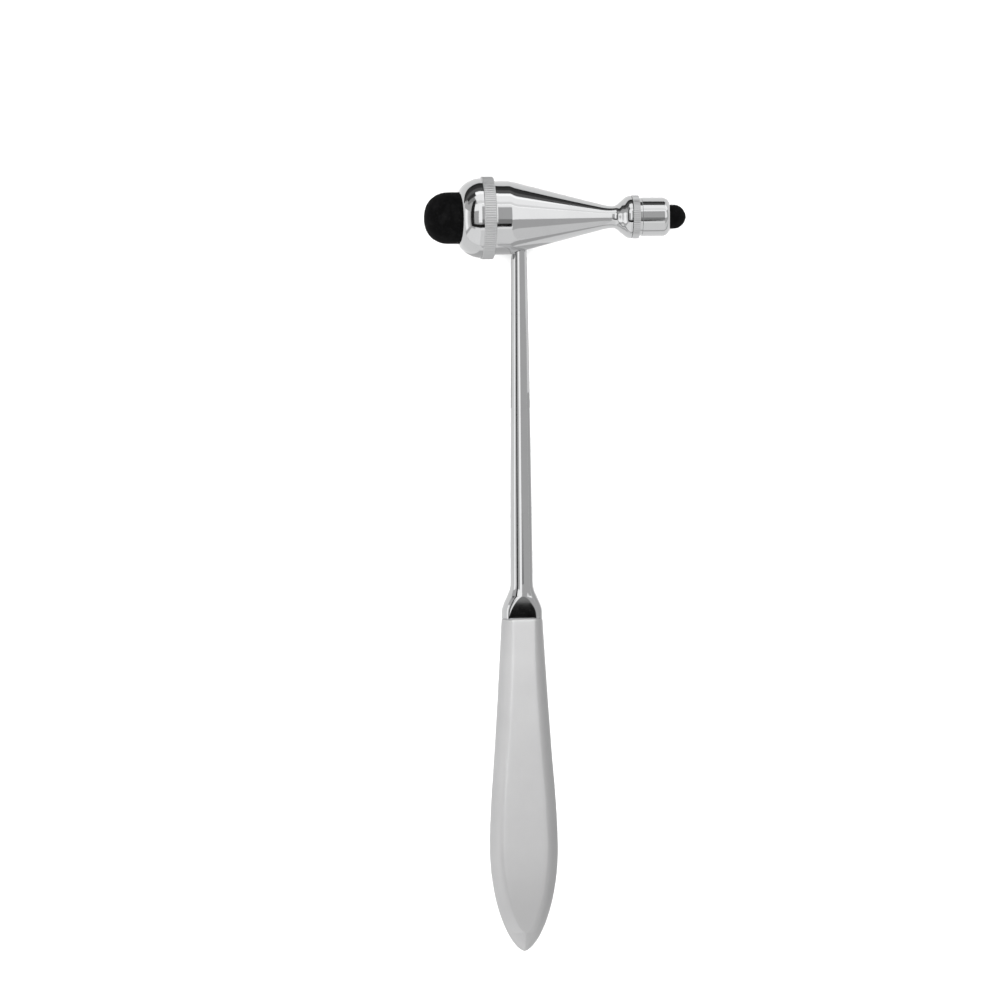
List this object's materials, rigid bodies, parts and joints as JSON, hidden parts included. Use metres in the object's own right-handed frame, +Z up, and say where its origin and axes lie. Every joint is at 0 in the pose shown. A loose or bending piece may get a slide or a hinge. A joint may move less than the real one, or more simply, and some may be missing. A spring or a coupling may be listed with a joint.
{
  "type": "reflex hammer",
  "caption": "Two-ended reflex hammer: chromed conical head with screw caps that hold rubber mallets, a tapered shaft and a satin paddle handle.",
  "frame": {"origin": "under the middle of the hammer's box, on the level surface that the hammer lies on", "axes": "+Z up from that surface; +Y along the hammer towards the head, the handle lies towards -Y; the small mallet is at +X and the large mallet at -X. The head's axis and the shaft lean a few degrees, because the hammer rests on its large cap, its small cap and its handle"},
  "size_m": [0.0828, 0.2448, 0.0264],
  "materials": {
    "polished_chrome": "polished",
    "satin_chrome": "satin",
    "black_rubber": "matte"
  },
  "bodies": {
    "hammer": {"head_body": "polished_chrome", "shaft": "polished_chrome", "handle_front_shell": "satin_chrome", "handle_back_shell": "satin_chrome"},
    "large_mallet": {"large_mallet": "black_rubber"},
    "large_cap": {"large_cap": "polished_chrome"},
    "small_mallet": {"small_mallet": "black_rubber"},
    "small_cap": {"small_cap": "polished_chrome"}
  },
  "joints": [
    {"name": "large_cap_travel", "type": "slide", "parent": "hammer", "child": "large_mallet", "axis": [-0.992, -0.0036, 0.1265], "range_m": [0, 0.00526]},
    {"name": "large_cap_turn", "type": "hinge", "parent": "large_mallet", "child": "large_cap", "pos_m": [-0.02437, 0.10934, 0.01352], "axis": [-0.992, -0.0036, 0.1265], "range_deg": [0, 1260]},
    {"name": "small_cap_travel", "type": "slide", "parent": "hammer", "child": "small_mallet", "axis": [0.992, 0.0036, -0.1265], "range_m": [0, 0.00526]},
    {"name": "small_cap_turn", "type": "hinge", "parent": "small_mallet", "child": "small_cap", "pos_m": [0.03019, 0.10954, 0.00656], "axis": [0.992, 0.0036, -0.1265], "range_deg": [0, 1890]}
  ],
  "couplings": [
    {"joint": "large_cap_travel", "follows": "large_cap_turn", "m_per_rad": 0.00023873},
    {"joint": "small_cap_travel", "follows": "small_cap_turn", "m_per_rad": 0.00015915}
  ]
}
